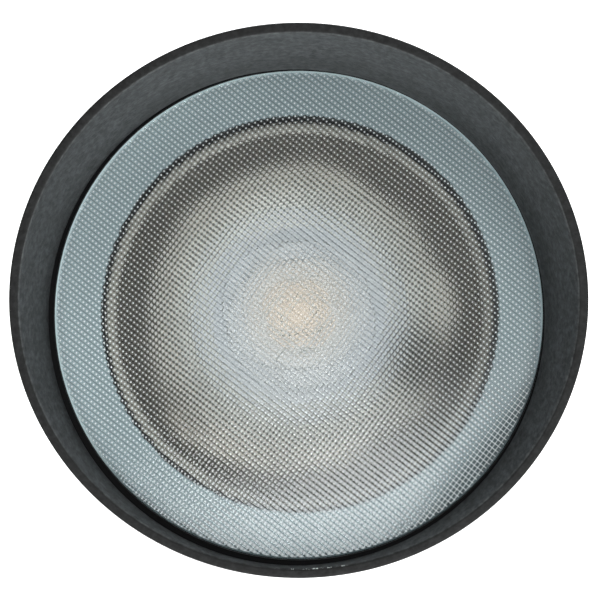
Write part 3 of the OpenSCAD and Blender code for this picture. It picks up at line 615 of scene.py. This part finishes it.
# painted glints: tiny pale specks on the rim's inner edge at the bottom
painted_rim_glints = between(tree, use(tree, SAND_GRAIN, place, Grain_mm=RIM_GLINT_MM)["Speck"], *RIM_GLINT_SHARE)
for where, limit in ((above_rim, RIM_GLINTS_FROM), (above_rim, RIM_GLINTS_TO), (from_axis, RIM_GLINTS_WITHIN),
                     (along(tree, place, RIM_GLINTS_SIDE), RIM_GLINTS_BEYOND)):
    painted_rim_glints = compute(tree, "MULTIPLY", painted_rim_glints, between(tree, where, *limit))
shade_by(tree, shader, painted_rim_glints, RIM_GLINT_COLOUR)
print("hood finish:", hood_coat.name)

# %% Glare hood: mesh
AROUND, AROUND_BOSS, ANGLE_DIGITS = 240, 61, 5
BACK_ROUND, WAIST_ROUND, RIM_ROUND, RIM_INNER_ROUND, FOOT_ROUND = 0.7, 0.9, 0.75, 0.7, 0.2

boss_fan = np.radians(np.linspace(-SPAN_DEG, SPAN_DEG, AROUND_BOSS))
hood_angles = np.unique(np.round(np.concatenate(
    [np.linspace(0, 2 * np.pi, AROUND, endpoint=False)]
    + [screw + boss_fan for screw in SCREW_ANGLES]), ANGLE_DIGITS))
seat_in = ring(hood_angles, GASKET_R, COLLAR_BACK)
seat_out = ring(hood_angles, COLLAR_R, COLLAR_BACK)
waist = ring(hood_angles, COLLAR_R, COLLAR_FRONT)
rim_out = rim_ring(hood_angles, RIM_R)
rim_in = rim_ring(hood_angles, RIM_R - RIM_WIDTH)
foot = ring(hood_angles, FOOT_R, GASKET_TOP, FOOT_SHIFT)
lip = ring(hood_angles, GASKET_R, GASKET_TOP)

outside = swell_at_screws(np.concatenate([
    bend(seat_in, seat_out, waist, BACK_ROUND),
    stretch(seat_out, waist, 8),
    bend(seat_out, waist, rim_out, WAIST_ROUND),
    stretch(waist, rim_out, 30, lean=1.3),
]))
hood_section = np.concatenate([
    outside,
    bend(waist, rim_out, rim_in, RIM_ROUND, steps=7),
    bend(rim_out, rim_in, foot, RIM_INNER_ROUND, steps=7),
    stretch(rim_in, foot, 16),
    bend(rim_in, foot, lip, FOOT_ROUND, steps=3),
    lip[None], seat_in[None],
])
make_piece("glare_hood", from_head(hood_section.reshape(-1, 3)),
           [grid_faces(len(hood_section), len(hood_angles))], hood_coat, "head",
           ["hood"])

# %% [markdown]
# ## The spun bowl
# The reflector is a thin disc of aluminium spun over a form into a bowl, with a thin foot pressed
# on the white sheet and a rolled lip at its mouth. Its inside widens fast and then steepens. The
# profile runs up the inside, over the lip and down the outside at one sheet thickness.

# %% Spun bowl
BOWL_FOOT_R, BOWL_MOUTH_R, BOWL_EDGE_R = 27.5, 49.2, 51.8
BOWL_SHIFT = (0.2, -0.35)
BOWL_BASE, BOWL_TOP = -45.1, -8.4
BOWL_SHEET, FLANGE_R, FLANGE_TOP, FLANGE_LOW = 0.8, 31.0, -45.0, -45.2
BOWL_POWER = 0.85
LIP_TURN_R, LIP_ROLL_R = 0.7, 0.4
WALL_SLANT = 1.2

climb = np.linspace(0, 1, 44)
bowl_inside = np.stack([BOWL_FOOT_R + (BOWL_MOUTH_R - BOWL_FOOT_R) * climb ** BOWL_POWER,
                        BOWL_BASE + (BOWL_TOP - LIP_TURN_R - BOWL_BASE) * climb], -1)
quarter = np.linspace(0, np.pi / 2, 6)[1:]
lip_turn = np.stack([BOWL_MOUTH_R + LIP_TURN_R * (1 - np.cos(quarter)),
                     BOWL_TOP - LIP_TURN_R + LIP_TURN_R * np.sin(quarter)], -1)
half = np.linspace(0, np.pi, 9)
lip_roll = np.stack([BOWL_EDGE_R - LIP_ROLL_R + LIP_ROLL_R * np.sin(half),
                     BOWL_TOP - LIP_ROLL_R + LIP_ROLL_R * np.cos(half)], -1)
bowl_outside = bowl_inside[1:][::-1] + np.array([WALL_SLANT * BOWL_SHEET, -BOWL_SHEET])
foot_flange = np.array([[FLANGE_R, FLANGE_TOP], [FLANGE_R, FLANGE_LOW], [BOWL_FOOT_R, FLANGE_LOW]])
bowl_profile = np.concatenate([bowl_inside, lip_turn, lip_roll, bowl_outside, foot_flange])
bowl_angles = np.linspace(0, 2 * np.pi, 160, endpoint=False)
bowl_points = rings(bowl_angles, bowl_profile, BOWL_SHIFT)
make_piece("spun_bowl", from_head(bowl_points.reshape(-1, 3)),
           [grid_faces(len(bowl_profile), len(bowl_angles))], spun_reflector, "head",
           ["reflector_bowl"])

# %% [markdown]
# ## The prism glass
# The glass is flat outside and pressed inside into thousands of small four-sided bumps, 1.31 by
# 1.09 mm, in rows that lie across the picture at 52 degrees. That is why it looks like fine cloth:
# every bump bends the view of the bowl behind it, and its tip catches the lamps. The bumps are
# real geometry, one lattice cell each, with a small flat tip, and their edge is drawn to a circle.

# %% Prism glass: lattice
GLASS_THICK, GLASS_R, CLEAR_R = 4.0, 66.5, 64.6
ROW_ANGLES = np.radians([52.5, 143.8])
ROW_PITCH = np.array([1.314, 1.085])
PRISM_DEEP = 0.085
TIP_SHARE, FLAT_MARGIN = 0.28, 0.2
SPARE_ROWS, NOT_ZERO = 3, 1e-9

waves = np.stack([np.cos(ROW_ANGLES), np.sin(ROW_ANGLES)], -1) / ROW_PITCH[:, None]
cell = np.linalg.inv(waves)
reach = int(CLEAR_R / ROW_PITCH.min()) + SPARE_ROWS
count = 2 * reach + 1
numbers = np.arange(-reach, reach + 1)
first, second = np.meshgrid(numbers, numbers, indexing="ij")


def on_glass(a, b, depth):
    """Lattice numbers a and b to head millimetres, drawn in to the clear circle if outside it."""
    flat = np.stack([a, b], -1) @ cell.T
    far = np.linalg.norm(flat, axis=-1, keepdims=True)
    flat = flat * np.minimum(1, CLEAR_R / np.maximum(far, NOT_ZERO))
    depth = np.where(far[..., 0] < CLEAR_R - FLAT_MARGIN, depth, 0.0)
    return np.concatenate([flat, (-GLASS_THICK + depth)[..., None]], -1)


corner_points = on_glass(first, second, 0.0)
inside = np.linalg.norm(np.stack([first, second], -1) @ cell.T, axis=-1) < CLEAR_R
tips = [on_glass(first + 0.5 + da * TIP_SHARE / 2, second + 0.5 + db * TIP_SHARE / 2, -PRISM_DEEP)
        for da, db in ((-1, -1), (1, -1), (1, 1), (-1, 1))]
print("bumps:", inside.sum())

# %% [markdown]
# Each cell becomes five faces: its tip, and four sides down to the cell's corners. The open edge
# of all these cells is a ring of points. One band of faces joins it to the glass's back edge, a
# second joins that to the front edge, and a fan of triangles closes the flat front.

# %% Prism glass: mesh
ids = np.arange(count * count).reshape(count, count)
base = [ids[:-1, :-1], ids[1:, :-1], ids[1:, 1:], ids[:-1, 1:]]
kept = (inside[:-1, :-1] | inside[1:, :-1] | inside[1:, 1:] | inside[:-1, 1:])
base = [b[kept] for b in base]
tip = [ids[:-1, :-1][kept] + count * count * (i + 1) for i in range(4)]
prism_faces = np.concatenate(
    [np.stack(tip, -1)]
    + [np.stack([base[i], base[(i + 1) % 4], tip[(i + 1) % 4], tip[i]], -1) for i in range(4)])
prism_points = np.concatenate([corner_points.reshape(-1, 3)] + [t.reshape(-1, 3) for t in tips])
used, prism_faces = np.unique(prism_faces, return_inverse=True)
prism_points, prism_faces = prism_points[used], prism_faces.reshape(-1, 4)

directed = np.stack([prism_faces, np.roll(prism_faces, -1, 1)], -1).reshape(-1, 2)
_, where, uses = np.unique(np.sort(directed, 1), axis=0, return_index=True, return_counts=True)
border = directed[where[uses == 1]]
edge_ids = np.unique(border)
position = np.zeros(len(prism_points), int)
position[edge_ids] = np.arange(len(edge_ids))
edge_flat = prism_points[edge_ids, :2]
edge_flat = edge_flat / np.linalg.norm(edge_flat, axis=1, keepdims=True) * GLASS_R
n, m = len(prism_points), len(edge_ids)
back_edge = np.column_stack([edge_flat, np.full(m, -GLASS_THICK)])
front_edge = np.column_stack([edge_flat, np.zeros(m)])
glass_points = np.concatenate([prism_points, back_edge, front_edge, [[0.0, 0.0, 0.0]]])
start, end = border.T
start_back, end_back = n + position[start], n + position[end]
glass_faces = [
    prism_faces,
    np.stack([end, start, start_back, end_back], -1),
    np.stack([end_back, start_back, start_back + m, end_back + m], -1),
    np.stack([end_back + m, start_back + m, np.full(len(start), n + 2 * m)], -1),
]

# %% [markdown]
# Each tip, and the low ridges that join the tips, get a dull white shader as painted glints, which
# gives the pale dots that show on dark ground. Low on the glass a painted sheen covers whole bumps.
# The sharp valleys between the bumps, and the pits where four bumps meet, get painted shade for the
# dark things they would show. A pit shows least in the middle, grows towards the bowl's dark wall
# and shrinks again beyond it. One group works these masks out from the same lattice as the mesh's.
# Its numbers are millimetres, or shares of a cell.

# %% Prism glass: pattern of the bumps
LIT_MIDDLE = (-1.1, -1.4, 0.0)
PIT_GROWS, PIT_SHRINKS = (24.0, 33.0, 0.22, 0.41), (36.0, 41.0, 0.41, 0.28)
DOT_BLUR = 0.1
RIDGE_SIDE, SECOND_RIDGE = (0.03, 0.26), 0.85
SHEEN_ACROSS, SHEEN_ALONG = (0.32, 0.54, 1.0, 0.0), (0.3, 0.5, 1.0, 0.72)
VALLEY_SIDE, VALLEY_DEPTHS = (0.27, 0.44), (0.57, 0.33)
INNER_BELOW = -0.9 * GLASS_THICK
PRESSED_R = CLEAR_R - 0.1


def make_prism_pattern():
    """Masks of tips, ridges, painted sheen, valleys and pits from a point's two lattice numbers."""
    names = ["Tip", "Ridge", "Sheen", "Valley", "Pit", "Cell", "Inner"]
    group, source, result = pattern_group("prism_pattern", {"Place": None, "Tip mm": 0.22}, names)
    place = source["Place"]
    away = []
    for wave in waves:
        share = compute(group, "FRACT", along(group, place, (*wave, 0)))
        away.append(compute(group, "ABSOLUTE", compute(group, "SUBTRACT", share, 0.5)))
    mm = [compute(group, "MULTIPLY", part, pitch) for part, pitch in zip(away, ROW_PITCH)]
    from_tip = add(group, "CombineXYZ", {0: mm[0], 1: mm[1]}).outputs[0]
    from_pit = vector(group, "SUBTRACT", (*(ROW_PITCH / 2), 0.0), from_tip)
    outwards = off_axis(group, place, LIT_MIDDLE)
    pit_mm = compute(group, "MINIMUM", between(group, outwards, *PIT_GROWS),
                     between(group, outwards, *PIT_SHRINKS))

    def dot(corner, radius):
        """1 within a radius of the tip or the pit, with a soft edge."""
        distance = vector(group, "LENGTH", corner, out="Value")
        beyond = compute(group, "SUBTRACT", distance, radius)
        return between(group, beyond, -DOT_BLUR, DOT_BLUR, 1.0, 0.0)

    tip, pit = dot(from_tip, source["Tip mm"]), dot(from_pit, pit_mm)
    ridges = [between(group, part, *RIDGE_SIDE, 1.0, 0.0) for part in mm]
    ridge = compute(group, "MAXIMUM", ridges[0],
                    compute(group, "MULTIPLY", ridges[1], SECOND_RIDGE))
    cell_mask = compute(group, "SUBTRACT", 1.0, ridge)
    painted_sheen = compute(group, "MULTIPLY", between(group, mm[0], *SHEEN_ACROSS),
                   between(group, mm[1], *SHEEN_ALONG))
    cuts = [between(group, part, *VALLEY_SIDE) for part in away]
    valley = compute(group, "MAXIMUM", *(compute(group, "MULTIPLY", cut, depth)
                                         for cut, depth in zip(cuts, VALLEY_DEPTHS)))
    inner = compute(group, "LESS_THAN", along(group, place, (0, 0, 1)), INNER_BELOW)
    pressed = compute(group, "LESS_THAN", off_axis(group, place), PRESSED_R)
    patterned = compute(group, "MULTIPLY", inner, pressed)
    for key, mask in zip(names, (tip, ridge, painted_sheen, valley, pit, cell_mask)):
        group.links.new(compute(group, "MULTIPLY", mask, patterned), result[key])
    group.links.new(inner, result["Inner"])
    return group


PRISM_PATTERN = make_prism_pattern()
print("masks:", [s.name for s in PRISM_PATTERN.interface.items_tree if s.in_out == "OUTPUT"])

# %% [markdown]
# The masks don't show alike everywhere, and where they change is painted light and shade. Valleys,
# pits and tips are faint in the lit middle. Over the trim ring the pits are faint again and the
# tips strong. At the lower right the ridges whiten with painted sheen and the cells between them go
# dark with painted shade, and a rough painted shadow runs along the glass's lower edge.

# %% Prism glass: where the masks show
TIPS_FROM, DARKER_FROM, PIT_SHADE_CLOUD_MM = (5.0, 14.0), (10.0, 27.0), 24.0
RING_PITS_FROM, RING_TIPS_FROM, EDGE_FROM = (51.0, 53.0), (46.0, 52.0), (62.9, 64.0)
HEAD_UP, EDGE_LOW = (0, 1, 0), (-25.0, -50.0)
LOWER_RIGHT, LOWER_RIGHT_FROM = (0.77, -0.64, 0), (53.0, 62.0, 0.0, 0.9)
LOW_DOWN, LOW_DOWN_FROM = (-0.4, 0.917, 0), (-24.0, -52.0)
VALLEY_SHARES, PRESSED_PITS, FULL_PIT, RING_PIT = (0.28, 1.0), (0.2, 0.5), 0.9, 0.35
TIP_SHARES, RING_TIP, LOW_TIP_SHARES = (0.35, 0.57), 0.87, (1.0, 0.78)
SHEEN_SHARES, RIDGE_SHARES = (0.02, 0.5), (0.04, 0.6)

clear_glass, tree, shader, output, place = new_finish("clear_glass")
prism = use(tree, PRISM_PATTERN, place)
from_axis = off_axis(tree, place)
darker = between(tree, off_axis(tree, place, LIT_MIDDLE), *DARKER_FROM)
pit_shade_cloud = use(tree, CLOUDINESS, place, Size_mm=PIT_SHADE_CLOUD_MM)["Cloud"]
low_down = between(tree, along(tree, place, LOW_DOWN), *LOW_DOWN_FROM)
lower_right = between(tree, along(tree, place, LOWER_RIGHT), *LOWER_RIGHT_FROM)

# painted shade in the valleys and pits, fainter in the lit middle
valley = compute(tree, "MULTIPLY", prism["Valley"], two_values(tree, darker, *VALLEY_SHARES))
pit_share = two_values(tree, darker, two_values(tree, pit_shade_cloud, *PRESSED_PITS), FULL_PIT)
pit_share = two_values(tree, between(tree, from_axis, *RING_PITS_FROM), pit_share, RING_PIT)
pit = compute(tree, "MULTIPLY", prism["Pit"], pit_share)
# painted shadow: dark cells along the lower edge and at the lower right
painted_low_edge_shadow = compute(tree, "MULTIPLY", between(tree, from_axis, *EDGE_FROM),
                   between(tree, along(tree, place, HEAD_UP), *EDGE_LOW))
painted_edge_shadow = compute(tree, "MAXIMUM", painted_low_edge_shadow, lower_right)
margin = compute(tree, "GREATER_THAN", from_axis, CLEAR_R - FLAT_MARGIN)
dark_part = compute(tree, "MAXIMUM", prism["Cell"], margin)
dark_part = compute(tree, "MULTIPLY", dark_part, prism["Inner"])
painted_edge_shade = compute(tree, "MULTIPLY", dark_part, painted_edge_shadow)
painted_shade_mask = compute(tree, "MAXIMUM", compute(tree, "MAXIMUM", valley, pit), painted_edge_shade)

# painted sheen: white over whole bumps low on the glass, none at the lower right
painted_sheen = compute(tree, "MULTIPLY", prism["Sheen"], two_values(tree, low_down, *SHEEN_SHARES))
painted_sheen = compute(tree, "MULTIPLY", painted_sheen, compute(tree, "SUBTRACT", 1.0, lower_right))
# painted sheen: the ridges whiten at the lower right
ridge = compute(tree, "MULTIPLY", prism["Ridge"], two_values(tree, lower_right, *RIDGE_SHARES))
tip_share = two_values(tree, between(tree, from_axis, *TIPS_FROM), *TIP_SHARES)
tip_share = two_values(tree, between(tree, from_axis, *RING_TIPS_FROM), tip_share, RING_TIP)
tip = compute(tree, "MULTIPLY", prism["Tip"], tip_share)
tip = compute(tree, "MULTIPLY", tip, two_values(tree, low_down, *LOW_TIP_SHARES))
# painted glints: tips, ridges and sheen, where the dull white shader takes over
painted_glints = compute(tree, "MAXIMUM", compute(tree, "MAXIMUM", tip, ridge), painted_sheen)
print("nodes in the glass:", len(tree.nodes))

# %% [markdown]
# Valleys, pits and edge cells tint the glass itself dark, as painted shade. On tips, ridges and the
# painted sheen a dull white shader, the painted glints, takes its place. For shadow rays the whole
# glass is simply clear, so the lamps reach the bowl without the noise that light bent by thousands
# of bumps would bring.

# %% Prism glass: shaders
INNER_ROUGHNESS = 0.02, 0.06
# painted shade: valleys, pits and edge cells tint the glass dark
tree.links.new(two_tones(tree, painted_shade_mask, (0.97, 0.99, 0.99), (0.05, 0.057, 0.058)),
               shader.inputs["Base Color"])
tree.links.new(two_values(tree, prism["Inner"], *INNER_ROUGHNESS), shader.inputs["Roughness"])
shader.inputs["IOR"].default_value = 1.5
shader.inputs["Transmission Weight"].default_value = 1.0
# the dull white shader of the painted glints and sheen
glint_white_shader = add(tree, "BsdfPrincipled", {"Base Color": (0.86, 0.9, 0.91, 1), "Roughness": 0.7})
inner_face = add(tree, "MixShader", {0: painted_glints, 1: shader.outputs[0], 2: glint_white_shader.outputs[0]})
let_light_in = add(tree, "BsdfTransparent", {"Color": (0.9, 0.92, 0.92, 1)})
shadow_ray = add(tree, "LightPath").outputs["Is Shadow Ray"]
either = add(tree, "MixShader", {0: shadow_ray, 1: inner_face.outputs[0],
                                 2: let_light_in.outputs[0]})
tree.links.new(either.outputs[0], output.inputs["Surface"])

# %% Prism glass: piece
make_piece("prism_glass", from_head(glass_points), glass_faces, clear_glass, "head",
           ["lens"], crease=5.0)

# %% [markdown]
# ## The threaded stem
# The stem is a turned brass nipple with a half-inch pipe thread, which winds up it like a ramp.
# Each row of points lies at one height, and its radius follows a triangle wave of the height less
# the turn round the axis, so the crest climbs one pitch for each turn. The wave fades out at the
# end and at the relief groove, as a real thread runs out.

# %% Threaded stem
STEM_LOW, STEM_TOP, BORE_R = -14.0, 34.0, 6.8
THREAD_R, THREAD_PITCH, THREAD_DEEP = 10.6, 1.814, 1.1
CREST_FLAT, SLOPE_SHARE, RUN_OUT = 0.08, 0.84, 0.9
LEAD_IN, ROW_GAP = 0.2, 0.05
RELIEF_TOP, RELIEF_R = 1.4, 9.5
SHOULDER_LOW, SHOULDER_TOP, SHOULDER_R, CHAMFER = 10.0, 13.0, 13.0, 0.4
SPIGOT_R, SPIGOT_CHAMFER = 9.6, 0.6
SCREW_GROOVE, SCREW_GROOVE_R = (20.5, 23.5), 8.4
SEAL_GROOVE, SEAL_GROOVE_R = (28.8, 31.2), 7.8

stem_angles = np.linspace(0, 2 * np.pi, 120, endpoint=False)


def threaded_rows(low, high, angles, rows):
    """Radius = crest - depth * |wave|, the wave being a triangle of (height / pitch - turn)."""
    height = np.linspace(low, high, rows)[:, None]
    wave = np.abs(((height / THREAD_PITCH - angles / (2 * np.pi)) % 1) * 2 - 1)
    wave = np.clip((wave - CREST_FLAT) / SLOPE_SHARE, 0, 1)
    fade = np.clip(np.minimum(height - low, high - height) / RUN_OUT, 0, 1)
    radius = THREAD_R - THREAD_DEEP * (1 - fade + fade * wave)
    return np.stack([radius * np.cos(angles), radius * np.sin(angles),
                     np.broadcast_to(height, radius.shape)], -1)


def groove(heights, radius):
    """The four corners of a square groove in the spigot."""
    low, high = heights
    return [(SPIGOT_R, low), (radius, low), (radius, high), (SPIGOT_R, high)]


stem_rows = np.concatenate([
    rings(stem_angles, [(BORE_R, STEM_LOW), (THREAD_R - THREAD_DEEP - LEAD_IN, STEM_LOW)]),
    threaded_rows(STEM_LOW, -ROW_GAP, stem_angles, 84),
    rings(stem_angles, [(RELIEF_R, 0.0), (RELIEF_R, RELIEF_TOP)]),
    threaded_rows(RELIEF_TOP + ROW_GAP, SHOULDER_LOW - ROW_GAP, stem_angles, 52),
    rings(stem_angles, [
        (RELIEF_R, SHOULDER_LOW), (SHOULDER_R - CHAMFER, SHOULDER_LOW),
        (SHOULDER_R, SHOULDER_LOW + CHAMFER), (SHOULDER_R, SHOULDER_TOP - CHAMFER),
        (SHOULDER_R - CHAMFER, SHOULDER_TOP), (SPIGOT_R, SHOULDER_TOP),
        *groove(SCREW_GROOVE, SCREW_GROOVE_R), *groove(SEAL_GROOVE, SEAL_GROOVE_R),
        (SPIGOT_R, STEM_TOP - SPIGOT_CHAMFER), (SPIGOT_R - SPIGOT_CHAMFER, STEM_TOP),
        (BORE_R, STEM_TOP)]),
])
make_piece("threaded_stem", stem_rows.reshape(-1, 3) * MM,
           [grid_faces(len(stem_rows), len(stem_angles))], brass, "stem",
           ["stem_nipple"], crease=40.0)

# %% [markdown]
# ## The studio
# The photograph has a pure white ground, dark faces towards the camera and light from the sides.
# So the floor glows white by itself, and the lamps stand beside and above the head. The camera's
# side stays dim, because a lamp there would show in the glass and turn the dark rim grey.

# %% Floor and world
FLOOR_Z, FLOOR_HALF = -14.2, 6000.0
FLOOR_LIGHT, FLOOR_SEEN = 0.14, 1.0
ROOM_LIGHT, ROOM_SEEN = 0.16, 1.2

floor_mesh = bpy.data.meshes.new("floor")
floor_mesh.from_pydata([(x * FLOOR_HALF * MM, y * FLOOR_HALF * MM, FLOOR_Z * MM)
                        for x, y in ((-1, -1), (1, -1), (1, 1), (-1, 1))], [], [(0, 1, 2, 3)])
floor = bpy.data.objects.new("floor", floor_mesh)
bpy.context.scene.collection.objects.link(floor)
floor_white, tree, shader, output, _ = new_finish("floor_white")
shader.inputs["Base Color"].default_value = (0.8, 0.8, 0.8, 1)
shader.inputs["Roughness"].default_value = 0.9
shader.inputs["Emission Color"].default_value = (1, 1, 1, 1)
path = add(tree, "LightPath").outputs
tree.links.new(two_values(tree, path["Is Camera Ray"], FLOOR_LIGHT, FLOOR_SEEN),
               shader.inputs["Emission Strength"])
ground = add(tree, "MixShader", {0: path["Is Shadow Ray"], 1: shader.outputs[0],
                                 2: add(tree, "BsdfTransparent").outputs[0]})
tree.links.new(ground.outputs[0], output.inputs["Surface"])
floor_mesh.materials.append(floor_white)

world = bpy.data.worlds.new("studio")
world.use_nodes = True
bpy.context.scene.world = world
room = world.node_tree
room.nodes.clear()
glow = add(room, "Background", {"Color": (0.93, 0.97, 1.0, 1), "Strength": ROOM_LIGHT})
white = add(room, "Background", {"Color": (1, 1, 1, 1), "Strength": ROOM_SEEN})
seen = add(room, "LightPath").outputs["Is Camera Ray"]
choice = add(room, "MixShader", {0: seen, 1: glow.outputs[0], 2: white.outputs[0]})
add(room, "OutputWorld", {"Surface": choice.outputs[0]})

scene = bpy.context.scene
scene.view_settings.view_transform = "Standard"
scene.view_settings.look = "None"
print("floor height:", FLOOR_Z, "mm")

# %% Lamps
LAMP_AWAY = 900
LAMPS = {
    # name: direction from the glass in head terms, side in millimetres, watts
    "key_lamp": ((0.5, 0.8, 0.3), 600, 8.5),
    "front_lamp": ((-0.12, 0.6, 0.79), 400, 2.1),
    "lower_lamp": ((0.12, -0.6, 0.79), 400, 2.55),
    "left_lamp": ((-0.9, 0.1, 0.35), 500, 1.9),
    "low_lamp": ((0.25, -0.93, 0.25), 500, 7),
    "glint_lamp": ((0.318, 0.27, 0.909), 180, 0.9),
}
NEARLY_UPRIGHT = 0.95


def soft_lamp(name, direction, size, watts):
    """A square lamp in a direction from the glass, at the lamps' distance, facing the glass."""
    lamp = bpy.data.lights.new(name, "AREA")
    lamp.shape, lamp.size, lamp.energy = "SQUARE", size * MM, watts
    holder = bpy.data.objects.new(name, lamp)
    back = np.array(direction, float) @ HEAD_AXES
    back /= np.linalg.norm(back)
    side = np.cross([0.0, 0.0, 1.0] if abs(back[2]) < NEARLY_UPRIGHT else [0.0, 1.0, 0.0], back)
    side /= np.linalg.norm(side)
    stand = np.eye(4)
    stand[:3, :3] = np.stack([side, np.cross(back, side), back], -1)
    stand[:3, 3] = (GLASS_CENTRE + back * LAMP_AWAY) * MM
    holder.matrix_world = Matrix(stand.tolist())
    bpy.context.scene.collection.objects.link(holder)


for lamp_name, (direction, size, watts) in LAMPS.items():
    soft_lamp(lamp_name, direction, size, watts)
